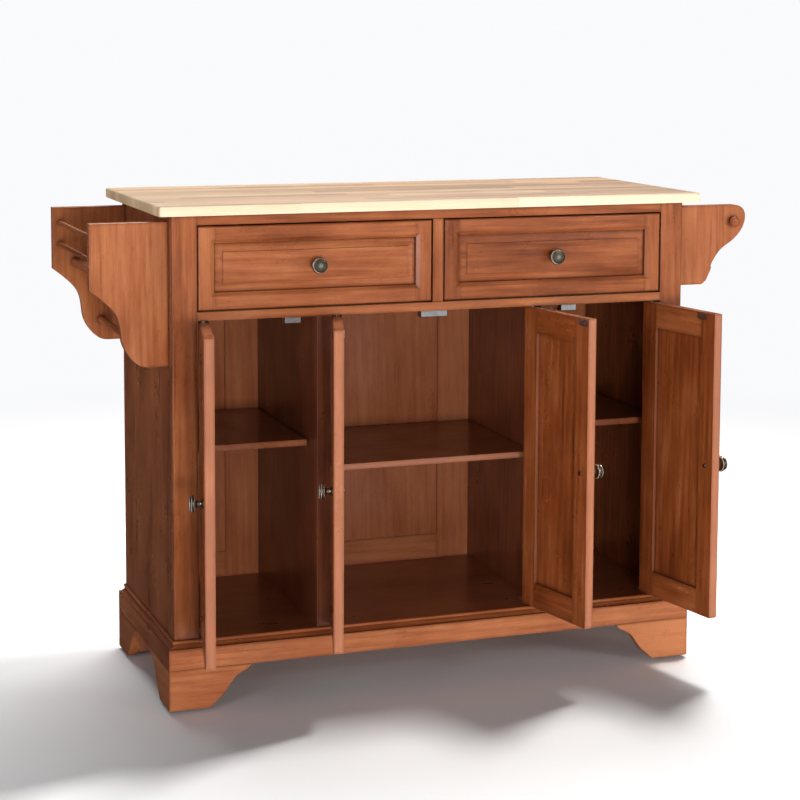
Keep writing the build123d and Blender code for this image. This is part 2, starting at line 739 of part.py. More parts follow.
# ---------------------------------------------------------------- drawers
drawer_width = opening_half - centre_stile_half - 2 * drawer_gap
drawer_height = top_rail_bottom - mid_rail_top - 2 * drawer_gap
drawer_x = (opening_half + centre_stile_half) / 2
drawer_z = (top_rail_bottom + mid_rail_top) / 2
box_half = drawer_width / 2 - box_inset
box_low = mid_rail_top + box_lift - drawer_z
box_high = box_low + box_height
box_back = frame_thickness + box_depth
drawer_face = framed_front(drawer_width, drawer_height, drawer_stile, drawer_rail)
drawer_face_panel = raised_panel(drawer_width, drawer_height, drawer_stile, drawer_rail)

with BuildPart() as drawer_face_panel_drilled:
    add(drawer_face_panel)
    rod((0, 0, 0), (0, 1, 0), screw_radius + screw_gap, frame_thickness, Mode.SUBTRACT)

with BuildPart() as drawer_box:
    slab((-box_half, box_half), (frame_thickness, box_back), (box_low, box_high))
    inside_x = (-box_half + box_thickness, box_half - box_thickness)
    inside_y = (frame_thickness + box_thickness, box_back - box_thickness)
    slab(inside_x, inside_y, (box_low, box_high), Mode.SUBTRACT)
    floor_z = (box_low + box_floor_lift, box_low + box_floor_lift + box_floor_thickness)
    groove_x = (inside_x[0] - box_floor_groove, inside_x[1] + box_floor_groove)
    groove_y = (inside_y[0] - box_floor_groove, inside_y[1] + box_floor_groove)
    slab(groove_x, groove_y, floor_z, Mode.SUBTRACT)
    for seam_x in inside_x:
        seam = (seam_x - glue_gap / 2, seam_x + glue_gap / 2)
        slab(seam, (frame_thickness, inside_y[0]), (box_low, box_high), Mode.SUBTRACT)
        slab(seam, (inside_y[1], box_back), (box_low, box_high), Mode.SUBTRACT)
    rod((0, frame_thickness, 0), (0, 1, 0), screw_radius + screw_gap, box_thickness, Mode.SUBTRACT)
    slab(
        (inside_x[0] - box_floor_tongue, inside_x[1] + box_floor_tongue),
        (inside_y[0] - box_floor_tongue, inside_y[1] + box_floor_tongue),
        (floor_z[0] + panel_play, floor_z[1] - panel_play),
    )

# The knob sits on the panel's raised field, and its screw runs through from inside the box
drawer_knob = knob_with_screw(frame_thickness + box_thickness - field_front)
for drawer_name, sign in (("left", -1), ("right", 1)):
    place = Pos(sign * drawer_x, body_front, drawer_z)
    keep(f"drawer_{drawer_name}_front_frame", place * drawer_face)
    keep(f"drawer_{drawer_name}_front_panel", place * drawer_face_panel_drilled.part)
    keep(f"drawer_{drawer_name}_box", place * drawer_box.part)
    keep(f"drawer_{drawer_name}_knob", place * Pos(0, field_front, 0) * drawer_knob)

# ---------------------------------------------------------------- doors
door_knob = knob_with_screw(frame_thickness)
door_height = door_top - door_bottom
door_z = (door_top + door_bottom) / 2
door_faces = {}
door_panels = {}
for width in (outer_door_width, middle_door_width):
    door_faces[width] = framed_front(width, door_height, door_stile, door_rail)
    door_panels[width] = raised_panel(width, door_height, door_stile, door_rail)

door_widths = [outer_door_width, middle_door_width, middle_door_width, outer_door_width]
door_names = ["left_outer", "left_middle", "right_middle", "right_outer"]
for name, width, pivot_x, sign, angle in zip(door_names, door_widths, pivot_xs, hinge_signs, door_angles):
    # Positions in the door's own frame: X from its middle, Y from its outer face
    pivot_local_x = sign * (width / 2 - pivot_in)
    knob_local_x = -sign * (width / 2 - knob_from_edge)
    half_height = door_height / 2
    leaf_outer_x = pivot_local_x + sign * leaf_past_pin
    leaf_x = sorted((leaf_outer_x, leaf_outer_x - sign * leaf_length))
    leaf_y = (pivot_back - plate_width / 2, pivot_back + plate_width / 2)
    top_leaf_z = (half_height - plate_thickness, half_height)
    bottom_leaf_z = (-half_height, -half_height + plate_thickness)

    with BuildPart() as door_frame:
        add(door_faces[width])
        for leaf_z in (top_leaf_z, bottom_leaf_z):
            slab(leaf_x, leaf_y, leaf_z, Mode.SUBTRACT)
        for z_sign in (-1, 1):
            end = (pivot_local_x, pivot_back, z_sign * half_height)
            rod(end, (0, 0, -z_sign), hinge_wood_radius, pin_into_door + pin_hole_spare, Mode.SUBTRACT)
        knob_point = (knob_local_x, 0, 0)
        rod(knob_point, (0, 1, 0), screw_radius + screw_gap, frame_thickness, Mode.SUBTRACT)

    catch_x = middle_strike_x if "middle" in name else outer_catch_x
    closed_centre_x = pivot_x - pivot_local_x
    strike_x = sign * catch_x - closed_centre_x
    strike_top = half_height - strike_from_top
    with BuildPart() as door_plates:
        strike_span = (strike_x - strike_width / 2, strike_x + strike_width / 2)
        strike_y = (frame_thickness, frame_thickness + strike_thickness)
        slab(strike_span, strike_y, (strike_top - strike_height, strike_top))
        fillet(door_plates.edges().filter_by(Axis.Y), strike_corner_radius)
        for leaf_z, z_sign in ((top_leaf_z, 1), (bottom_leaf_z, -1)):
            slab(leaf_x, leaf_y, leaf_z)
            end = (pivot_local_x, pivot_back, z_sign * half_height)
            rod(end, (0, 0, -z_sign), hinge_hole_radius, plate_thickness, Mode.SUBTRACT)

    swing = Pos(pivot_x, pivot_y, 0) * Rot(0, 0, sign * angle) * Pos(-pivot_x, -pivot_y, 0)
    place = swing * Pos(closed_centre_x, body_front, door_z)
    keep(f"door_{name}_frame", place * door_frame.part)
    keep(f"door_{name}_panel", place * door_panels[width])
    keep(f"door_{name}_plates", place * door_plates.part)
    keep(f"door_{name}_knob", place * Pos(knob_local_x, 0, 0) * door_knob)

# ---------------------------------------------------------------- export
# The shared origin is the middle of the whole piece's box at floor level, doors as stored
boxes = [part.bounding_box() for part in made.values()]
middle_x = (min(box.min.X for box in boxes) + max(box.max.X for box in boxes)) / 2
middle_y = (min(box.min.Y for box in boxes) + max(box.max.Y for box in boxes)) / 2
to_origin = Pos(-middle_x, -middle_y, 0)
for name, part in made.items():
    placed = to_origin * part
    placed.label = name
    export_step(placed, f"parts/{name}.step")
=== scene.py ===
import json
import math
import random

import bmesh
import bpy
from mathutils import Matrix, Vector


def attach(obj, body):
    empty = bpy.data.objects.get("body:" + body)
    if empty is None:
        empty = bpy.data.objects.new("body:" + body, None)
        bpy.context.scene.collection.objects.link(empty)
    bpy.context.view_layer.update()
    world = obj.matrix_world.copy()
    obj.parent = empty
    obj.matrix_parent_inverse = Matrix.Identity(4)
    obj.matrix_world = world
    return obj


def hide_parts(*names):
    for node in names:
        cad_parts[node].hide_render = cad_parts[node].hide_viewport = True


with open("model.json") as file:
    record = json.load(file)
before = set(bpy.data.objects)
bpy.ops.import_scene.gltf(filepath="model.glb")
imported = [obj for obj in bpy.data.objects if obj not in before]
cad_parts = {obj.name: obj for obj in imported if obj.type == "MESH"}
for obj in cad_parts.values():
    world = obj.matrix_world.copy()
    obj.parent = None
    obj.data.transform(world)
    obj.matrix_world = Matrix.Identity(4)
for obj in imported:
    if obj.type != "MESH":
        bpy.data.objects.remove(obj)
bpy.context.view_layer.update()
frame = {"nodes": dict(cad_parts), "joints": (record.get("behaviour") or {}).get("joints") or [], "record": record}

# Sizes are in metres and colours are linear red, green and blue.
nodes = frame["nodes"]
bodies = frame["record"]["behaviour"]["bodies"]
joints = {joint["child"]: joint for joint in frame["joints"]}
chance = random.Random(7)

# ---------------------------------------------------------------- shader helpers


class Shader:
    """A material whose nodes are written as small expressions."""

    def __init__(self, name):
        self.material = bpy.data.materials.new(name)
        self.material.use_nodes = True
        self.tree = self.material.node_tree
        self.tree.nodes.clear()
        self.output = self.tree.nodes.new("ShaderNodeOutputMaterial")
        self.surface = self.tree.nodes.new("ShaderNodeBsdfPrincipled")
        self.tree.links.new(self.surface.outputs[0], self.output.inputs["Surface"])

    def node(self, kind, inputs=(), **settings):
        made = self.tree.nodes.new(kind)
        for key, value in settings.items():
            setattr(made, key, value)
        for key, value in dict(inputs).items():
            self.feed(made.inputs[key], value)
        return made

    def feed(self, socket, value):
        if isinstance(value, bpy.types.NodeSocket):
            self.tree.links.new(value, socket)
        else:
            socket.default_value = value

    def math(self, operation, *values, clamp=False):
        inputs = {index: value for index, value in enumerate(values)}
        return self.node("ShaderNodeMath", inputs, operation=operation, use_clamp=clamp).outputs[0]

    def vector(self, operation, *values):
        inputs = {index: value for index, value in enumerate(values)}
        made = self.node("ShaderNodeVectorMath", inputs, operation=operation)
        return made.outputs["Value" if operation == "LENGTH" else "Vector"]

    def swing(self, value, amount):
        """How far a value from 0 to 1 is from its middle, times an amount."""
        return self.math("MULTIPLY", self.math("SUBTRACT", value, 0.5), amount)

    def share(self, *parts):
        """The sum of the parts, kept between 0 and 1."""
        total = parts[0]
        for part in parts[1:-1]:
            total = self.math("ADD", total, part)
        return self.math("ADD", total, parts[-1], clamp=True)

    def attribute(self, name):
        return self.node("ShaderNodeAttribute", attribute_name=name)

    def place(self):
        return self.node("ShaderNodeTexCoord").outputs["Object"]

    def split(self, vector):
        return self.node("ShaderNodeSeparateXYZ", {0: vector}).outputs

    def join(self, x, y, z):
        return self.node("ShaderNodeCombineXYZ", {0: x, 1: y, 2: z}).outputs[0]

    def noise(self, vector, scale, detail=2.0, roughness=0.5, distortion=0.0):
        """Noise with a scale in repeats per metre: one number, or one for each part of the vector."""
        if isinstance(scale, tuple):
            vector, scale = self.vector("MULTIPLY", vector, scale), 1.0
        inputs = {
            "Vector": vector,
            "Scale": scale,
            "Detail": detail,
            "Roughness": roughness,
            "Distortion": distortion,
        }
        return self.node("ShaderNodeTexNoise", inputs).outputs["Fac"]

    def ramp(self, value, *stops):
        """A smooth blend through (position, colour) stops."""
        made = self.node("ShaderNodeValToRGB", {"Fac": value})
        elements = made.color_ramp.elements
        while len(elements) < len(stops):
            elements.new(0.5)
        for element, (position, colour) in zip(elements, stops):
            element.position = position
            element.color = (*colour, 1.0)
        return made.outputs["Color"]

    def remap(self, value, low, high, to_low=0.0, to_high=1.0):
        inputs = {"Value": value, 1: low, 2: high, 3: to_low, 4: to_high}
        return self.node("ShaderNodeMapRange", inputs, clamp=True).outputs[0]

    def mix(self, share, first, second):
        made = self.node("ShaderNodeMix", data_type="RGBA")
        self.feed(made.inputs[0], share)
        for socket, colour in ((made.inputs[6], first), (made.inputs[7], second)):
            self.feed(socket, colour if isinstance(colour, bpy.types.NodeSocket) else (*colour, 1.0))
        return made.outputs[2]

    def lay(self, colour, over, mask, amount):
        """The colour with another over it where the mask is 1, at most by the amount."""
        return self.mix(self.math("MULTIPLY", mask, amount), colour, over)

    def bump(self, height, strength, distance):
        inputs = {"Height": height, "Strength": strength, "Distance": distance}
        return self.node("ShaderNodeBump", inputs).outputs[0]

    def finish(self, colour, roughness, normal=None, **fixed):
        self.feed(self.surface.inputs["Base Color"], colour)
        self.feed(self.surface.inputs["Roughness"], roughness)
        if normal is not None:
            self.feed(self.surface.inputs["Normal"], normal)
        for key, value in fixed.items():
            self.surface.inputs[key.replace("_", " ")].default_value = value
        return self.material


def board_edge(shader):
    """How far a point is from its board's nearest edge: the middle one of its three distances to faces."""
    place = shader.attribute("board_place").outputs["Vector"]
    half = shader.attribute("board_half").outputs["Vector"]
    left = shader.split(shader.vector("SUBTRACT", half, shader.vector("ABSOLUTE", place)))
    least = shader.math("MINIMUM", left[0], shader.math("MINIMUM", left[1], left[2]))
    most = shader.math("MAXIMUM", left[0], shader.math("MAXIMUM", left[1], left[2]))
    total = shader.math("ADD", left[0], shader.math("ADD", left[1], left[2]))
    return shader.math("SUBTRACT", shader.math("SUBTRACT", total, least), most)


# ---------------------------------------------------------------- stained wood

# Dark, middle and light of each stain
FRONT_STAIN = ((0.110, 0.0235, 0.0060), (0.295, 0.0820, 0.0250), (0.47, 0.165, 0.061))
DOOR_STAIN = ((0.105, 0.020, 0.0040), (0.275, 0.0690, 0.0175), (0.47, 0.165, 0.061))
INSIDE_STAIN = ((0.100, 0.026, 0.011), (0.240, 0.071, 0.0280), (0.36, 0.128, 0.056))
BOX_STAIN = ((0.22, 0.11, 0.05), (0.42, 0.235, 0.115), (0.56, 0.35, 0.19))
# The lighter colour of the narrow long faces of doors' and shelves' boards
PALE_EDGE_FACE = (0.57, 0.250, 0.148)

# Repeats per metre, twice across a board and once along it
STREAKS = (230.0, 230.0, 8.0)
PORES = (760.0, 760.0, 75.0)
FLAME = (34.0, 34.0, 2.6)
CLOUDS = (13.0, 13.0, 6.0)
RINGS = (34.0, 34.0, 1.6)
SMUDGES = (14.0, 14.0, 10.0)

TINT_AND_SHADE_STEP = 0.13
GATHERED_WIDTH = 0.0042
RUBBED_WIDTH = 0.0019
EDGE_WOBBLE = 0.0022
GLAZE_AND_SHADE_REACH = 0.009
GRAIN_DEPTH = 0.0004


def stained_wood(name, stain, gloss, figure=1.0, glaze_and_shade=0.0):
    """Stained hardwood: flecked grain along each board, cloudy stain, worn edges, satin lacquer."""
    dark, mid, light = stain
    s = Shader(name)
    grain = s.attribute("grain").outputs["Vector"]
    tint_and_shade = s.attribute("tint_and_shade").outputs["Fac"]
    edge = board_edge(s)
    streaks = s.noise(grain, STREAKS, 4.0, 0.62, 0.4)
    flame = s.noise(grain, FLAME, 3.0, 0.55, 1.4)
    clouds = s.noise(grain, CLOUDS, 4.0, 0.6)
    waves = {
        "Vector": s.vector("MULTIPLY", grain, RINGS),
        "Scale": 1.0,
        "Distortion": 5.5,
        "Detail": 2.0,
        "Detail Scale": 0.8,
    }
    rings = s.node("ShaderNodeTexWave", waves, wave_type="BANDS", bands_direction="DIAGONAL").outputs["Fac"]
    body = s.share(
        s.swing(streaks, 0.62 * figure),
        s.swing(flame, 0.50 * figure),
        s.swing(clouds, 0.85),
        s.swing(rings, 0.10 * figure),
        # Each board's random tone, plus its node's entry: lighter stain on the front spice-rack bracket, painted
        # light and painted shade on the others
        s.math("MULTIPLY", tint_and_shade, TINT_AND_SHADE_STEP),
        0.52,
    )
    colour = s.ramp(body, (0.12, dark), (0.5, mid), (0.92, light))
    pores = s.remap(s.noise(grain, PORES, 3.0, 0.65), 0.58, 0.72)
    colour = s.lay(colour, dark, pores, 0.42)
    # Stain gathers beside the edges, and the edges themselves are rubbed a little lighter
    ragged = s.math("MULTIPLY", s.noise(grain, 55.0, 3.0, 0.6), EDGE_WOBBLE)
    near = s.remap(s.math("SUBTRACT", edge, ragged), 0.0004, GATHERED_WIDTH, 1.0, 0.0)
    rubbed = s.remap(s.math("ADD", edge, ragged), 0.0011, RUBBED_WIDTH, 1.0, 0.0)
    # The narrow long faces of doors' and shelves' boards are made lighter
    colour = s.lay(colour, PALE_EDGE_FACE, s.attribute("edge_face").outputs["Fac"], 0.42)
    colour = s.lay(colour, dark, near, 0.30)
    colour = s.lay(colour, light, rubbed, 0.42)
    if glaze_and_shade:
        # Darker in corners and seams, by how enclosed each point is: glaze left there, and painted shade
        open_air = s.node("ShaderNodeAmbientOcclusion", {"Distance": GLAZE_AND_SHADE_REACH}, samples=6).outputs["AO"]
        corner_glaze_and_shade = s.remap(open_air, 0.45, 0.95, glaze_and_shade, 0.0)
        colour = s.mix(corner_glaze_and_shade, colour, tuple(part * 0.55 for part in dark))
    rough = s.remap(s.noise(grain, SMUDGES, 4.0, 0.6), 0.3, 0.75, gloss, gloss + 0.13)
    rough = s.math("ADD", rough, s.math("MULTIPLY", pores, 0.12))
    height = s.math("SUBTRACT", s.math("MULTIPLY", streaks, 0.4), s.math("MULTIPLY", pores, 0.6))
    normal = s.bump(height, 0.22, GRAIN_DEPTH)
    lacquer = {"Coat_Weight": 0.30, "Coat_Roughness": 0.12, "Coat_IOR": 1.5, "Specular_IOR_Level": 0.35}
    return s.finish(colour, rough, normal, **lacquer)


# ---------------------------------------------------------------- worktop wood

STRIP_WIDTH = 0.0352
FIRST_STRIP = 0.0045
SHORTEST_STRIP = 0.31
STRIP_SPREAD = 0.17
STRIP_STAGGER = 1.7
SEAM_COLOUR = (0.20, 0.105, 0.05)
WORN_COLOUR = (0.86, 0.72, 0.50)


def strip_wood():
    """The worktop: pale hardwood strips glued side by side, each with its own shade and grain."""
    s = Shader("worktop_strips")
    # The worktop's own length runs along the third part of board_place
    across, up, along = s.split(s.attribute("board_place").outputs["Vector"])
    edge = board_edge(s)
    rows = s.math("DIVIDE", s.math("ADD", across, FIRST_STRIP), STRIP_WIDTH)
    row = s.math("FLOOR", rows)
    row_hash = s.node("ShaderNodeTexWhiteNoise", {"W": row}, noise_dimensions="1D").outputs["Value"]
    slid = s.math("ADD", along, s.math("MULTIPLY", row_hash, STRIP_STAGGER))
    length = s.math("ADD", SHORTEST_STRIP, s.math("MULTIPLY", row_hash, STRIP_SPREAD))
    columns = s.math("DIVIDE", slid, length)
    cell = s.join(row, s.math("FLOOR", columns), 3.0)
    strip = s.node("ShaderNodeTexWhiteNoise", {"Vector": cell}, noise_dimensions="3D").outputs
    shade = strip["Value"]
    hue = s.split(strip["Color"])[1]
    # Grain runs along each strip, and starts afresh on each
    offset = s.join(s.math("MULTIPLY", shade, 31.0), s.math("MULTIPLY", hue, 17.0), 0.0)
    inside = s.vector("ADD", s.join(across, up, along), offset)
    streaks = s.noise(inside, (230.0, 230.0, 6.5), 4.0, 0.6, 0.5)
    flame = s.noise(inside, (60.0, 60.0, 2.6), 3.0, 0.5, 1.8)
    # The right-hand end is a little darker
    darker_to_right = s.math("MULTIPLY", along, -0.42)
    body = s.share(s.swing(shade, 0.72), s.swing(streaks, 0.85), s.swing(flame, 1.15), darker_to_right, 0.5)
    face = s.ramp(
        body,
        (0.08, (0.205, 0.105, 0.046)),
        (0.45, (0.345, 0.205, 0.102)),
        (0.9, (0.48, 0.32, 0.175)),
    )
    face = s.lay(face, (0.42, 0.215, 0.125), s.remap(hue, 0.45, 1.0), 0.38)
    pores = s.remap(s.noise(inside, (900.0, 900.0, 30.0), 2.0, 0.55), 0.62, 0.74)
    face = s.lay(face, (0.24, 0.125, 0.06), pores, 0.45)
    # The front strip is the palest, and end grain shows on the short sides, made brighter with painted light
    facing = s.split(s.node("ShaderNodeNewGeometry").outputs["True Normal"])
    front = s.remap(facing[1], -0.9, -0.5, 1.0, 0.0)
    pale = s.ramp(body, (0.1, (0.76, 0.63, 0.42)), (0.9, (0.85, 0.74, 0.54)))
    colour = s.mix(front, face, pale)
    rings = s.noise(inside, (320.0, 95.0, 1.0), 3.0, 0.65, 1.2)
    ring_shade = s.math("ADD", s.math("MULTIPLY", rings, 0.55), s.math("MULTIPLY", shade, 0.5))
    # End grain made brighter than its own colour: painted light
    end_grain_and_light = s.ramp(ring_shade, (0.15, (0.62, 0.40, 0.20)), (0.85, (0.95, 0.76, 0.48)))
    ends = s.remap(s.math("ABSOLUTE", facing[0]), 0.6, 0.85)
    colour = s.mix(ends, colour, end_grain_and_light)
    # Dark glue lines between strips
    beside, butted = (s.math("ABSOLUTE", s.swing(s.math("FRACT", cells), 1.0)) for cells in (rows, columns))
    seam = s.math("MAXIMUM", s.remap(beside, 0.487, 0.499), s.remap(butted, 0.4984, 0.4999))
    seam = s.math("MULTIPLY", seam, s.math("SUBTRACT", 1.0, front))
    colour = s.lay(colour, SEAM_COLOUR, seam, 0.45)
    ragged = s.math("MULTIPLY", s.noise(inside, 40.0), 0.002)
    worn = s.remap(s.math("ADD", edge, ragged), 0.001, 0.004, 1.0, 0.0)
    colour = s.lay(colour, WORN_COLOUR, worn, 0.25)
    smudge = s.noise(s.join(across, up, along), (7.0, 7.0, 5.0), 4.0, 0.6)
    rough = s.remap(smudge, 0.3, 0.7, 0.42, 0.55)
    hollows = s.math("ADD", s.math("MULTIPLY", pores, 0.4), seam)
    height = s.math("SUBTRACT", s.math("MULTIPLY", streaks, 0.3), hollows)
    return s.finish(colour, rough, s.bump(height, 0.25, 0.0003), Specular_IOR_Level=0.4, Coat_Weight=0.08)


# ---------------------------------------------------------------- metal and plastic

# Distances from a knob's axis
KNOB_HIGHLIGHT_MIDDLE = (0.0010, 0.0060)
KNOB_GROOVE = 0.0114
KNOB_RIM_INSIDE = (0.0124, 0.0130)
KNOB_RIM_OUTSIDE = (0.0134, 0.0142)


def patina(shader, scale):
    """Metal patina from dark to bright, and the patches and fine specks that it is made of."""
    place = shader.place()
    patches = shader.noise(place, scale, 4.0, 0.6, 0.3)
    specks = shader.noise(place, scale * 7.0, 3.0, 0.6)
    both = shader.math("ADD", shader.math("MULTIPLY", patches, 0.75), shader.math("MULTIPLY", specks, 0.35))
    return both, patches, specks


def plated_metal():
    """Zinc-plated steel, mottled, and brighter where it is rubbed."""
    s = Shader("zinc_plate")
    body, _, specks = patina(s, 90.0)
    colour = s.ramp(body, (0.35, (0.50, 0.50, 0.50)), (0.55, (0.74, 0.74, 0.73)), (0.78, (0.90, 0.90, 0.88)))
    rough = s.remap(body, 0.35, 0.75, 0.42, 0.24)
    return s.finish(colour, rough, s.bump(specks, 0.12, 0.0002), Metallic=1.0)


def knob_metal():
    """Antique brass: dark patina, a painted highlight at the middle and on the rim, and painted shade in a groove
    inside the rim.
    """
    s = Shader("antique_brass")
    away = s.attribute("away").outputs["Fac"]
    body, patches, specks = patina(s, 90.0)
    colour = s.ramp(
        body,
        (0.35, (0.09, 0.066, 0.042)),
        (0.55, (0.23, 0.185, 0.125)),
        (0.78, (0.58, 0.50, 0.38)),
    )
    # Painted highlights: the middle and the rim are made bright in colour
    ragged = s.math("ADD", away, s.swing(patches, 0.004))
    middle = s.remap(ragged, *KNOB_HIGHLIGHT_MIDDLE, 1.0, 0.0)
    rim_highlight = s.math("MULTIPLY", s.remap(away, *KNOB_RIM_INSIDE), s.remap(ragged, *KNOB_RIM_OUTSIDE, 1.0, 0.0))
    # Painted shade: a dark ring in the groove inside the rim, which is also pressed in as a bump
    from_groove = s.math("ABSOLUTE", s.math("SUBTRACT", away, KNOB_GROOVE))
    groove_and_shade = s.remap(from_groove, 0.0003, 0.0013, 1.0, 0.0)
    colour = s.lay(colour, (0.88, 0.84, 0.75), middle, 0.75)
    colour = s.lay(colour, (0.045, 0.034, 0.022), groove_and_shade, 0.75)
    colour = s.lay(colour, (0.80, 0.75, 0.68), rim_highlight, 0.85)
    rough = s.math("SUBTRACT", s.remap(body, 0.35, 0.75, 0.26, 0.13), s.math("MULTIPLY", middle, 0.05))
    height = s.math("SUBTRACT", s.math("MULTIPLY", specks, 0.12), groove_and_shade)
    s.feed(s.surface.inputs["Metallic"], s.math("SUBTRACT", 1.0, s.math("MULTIPLY", rim_highlight, 0.7)))
    return s.finish(colour, rough, s.bump(height, 0.6, 0.0004))


def moulded_plastic():
    """Dark plastic with fine grit and a little dust."""
    s = Shader("glide_plastic")
    place = s.place()
    grit = s.noise(place, 900.0, 3.0, 0.6)
    dust = s.noise(place, 60.0, 3.0, 0.6)
    body = s.math("ADD", s.math("MULTIPLY", grit, 0.3), s.math("MULTIPLY", dust, 0.7))
    colour = s.ramp(body, (0.3, (0.018, 0.016, 0.015)), (0.8, (0.075, 0.066, 0.06)))
    return s.finish(colour, s.remap(dust, 0.3, 0.7, 0.45, 0.65), s.bump(grit, 0.3, 0.0002))


# The last number of each is how dark the glaze and painted shade in corners and seams are
front_wood = stained_wood("cherry_front", FRONT_STAIN, 0.25, 1.0, 0.68)
door_wood = stained_wood("cherry_door", DOOR_STAIN, 0.25, 0.9, 0.75)
panel_wood = stained_wood("cherry_panel", FRONT_STAIN, 0.24, 0.9, 0.90)
inside_wood = stained_wood("cherry_inside", INSIDE_STAIN, 0.27, 0.75)
box_wood = stained_wood("drawer_box", BOX_STAIN, 0.42, 0.8)
worktop_wood = strip_wood()
knob_brass = knob_metal()
plated_steel = plated_metal()
glide_plastic = moulded_plastic()

# ---------------------------------------------------------------- boards

# Nodes whose grain doesn't run along their longest side, and the axis that it runs along
GRAIN_AXIS = {"towel_front_bracket": 2, "towel_back_bracket": 2, "back_panels": 2, "drawer_deck": 0}

# Nodes whose wood is made lighter (above 0) or darker than the rest: the front spice-rack bracket took the stain
# lighter, and the other entries are painted light and painted shade on those parts
NODE_TINT_AND_SHADE = {
    "spice_rack_front_bracket": 1.2,
    "spice_rack_back_bracket": 2.4,
    "mid_rail": 2.0,
    "front_stile_left": -0.7,
    "bracket_foot_front_right": 3.0,
    "bracket_foot_front_left": 1.8,
    "plinth_boards": 0.8,
    "side_panel_left": -0.1,
    "side_panel_right": -1.6,
    "partition_left": -1.9,
    "partition_right": -1.0,
    "door_left_outer_panel": -0.4,
    "door_left_middle_panel": -0.4,
    "door_right_middle_frame": -0.7,
    "door_right_middle_panel": -0.9,
    "door_right_outer_panel": -1.0,
    "back_frame": 1.3,
    "back_panels": 0.3,
}

INSIDE = (
    "shelf_left", "shelf_centre", "shelf_right", "drawer_deck", "drawer_divider", "drawer_guides",
    "floor_panel", "back_frame", "back_panels", "partition_left", "partition_right",
)

WELD = 2e-6
FLAT_ANGLE = math.radians(0.4)
EASED_EDGE = 0.0010
WORKTOP_EASED_EDGE = 0.0008
EASED_ANGLE = math.radians(32)
# An edge steeper than the first is sharp, and so is one steeper than the second between broad faces
SHARP_ANGLE = 28
SLIGHT_ANGLE = 3
BROAD_FACE = 0.003


def body_of(node):
    return next(body for body, members in bodies.items() if node in members)


def closed_turn(node):
    """The turn that brings a node's boards square to the axes: a door's own angle, or none."""
    body = body_of(node)
    if not body.startswith("door_"):
        return Matrix.Identity(4)
    joint = joints[body]
    pivot = Vector(joint["pos_m"])
    turn = Matrix.Rotation(math.radians(joint["range_deg"][0]), 4, Vector(joint["axis"]))
    return Matrix.Translation(pivot) @ turn @ Matrix.Translation(-pivot)


def add_object(name, data):
    made = bpy.data.objects.new(name, data)
    bpy.context.scene.collection.objects.link(made)
    return made


def stand_in(piece, node, material):
    """The piece shows in the node's place, moves with its body and takes its slot."""
    piece.data.materials.clear()
    piece.data.materials.append(material)
    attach(piece, body_of(node))
    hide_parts(node)


def islands(mesh):
    """The mesh's separate closed pieces, as lists of vertices, in order of place."""
    left, found = set(mesh.verts), []
    while left:
        start = left.pop()
        piece, reached = [start], {start}
        while reached:
            reached = {e.other_vert(v) for v in reached for e in v.link_edges} & left
            left -= reached
            piece += reached
        found.append(piece)

    def centre(piece):
        return tuple(round(part, 4) for part in sum((v.co for v in piece), Vector()) / len(piece))

    return sorted(found, key=centre)


def board_axes(node, size):
    """A board's axes in order: its width, its thickness and the way its grain runs."""
    along = GRAIN_AXIS.get(node, max(range(3), key=lambda axis: size[axis]))
    wide, thick = sorted((axis for axis in range(3) if axis != along), key=lambda axis: -size[axis])
    return wide, thick, along


def mark_sharp_edges(mesh):
    width = {face: face.calc_area() / max(e.calc_length() for e in face.edges) for face in mesh.faces}
    for face in mesh.faces:
        face.smooth = True
    for e in mesh.edges:
        angle = math.degrees(e.calc_face_angle(math.pi))
        broad = min(width[face] for face in e.link_faces) > BROAD_FACE
        e.smooth = angle < SHARP_ANGLE and not (broad and angle > SLIGHT_ANGLE)


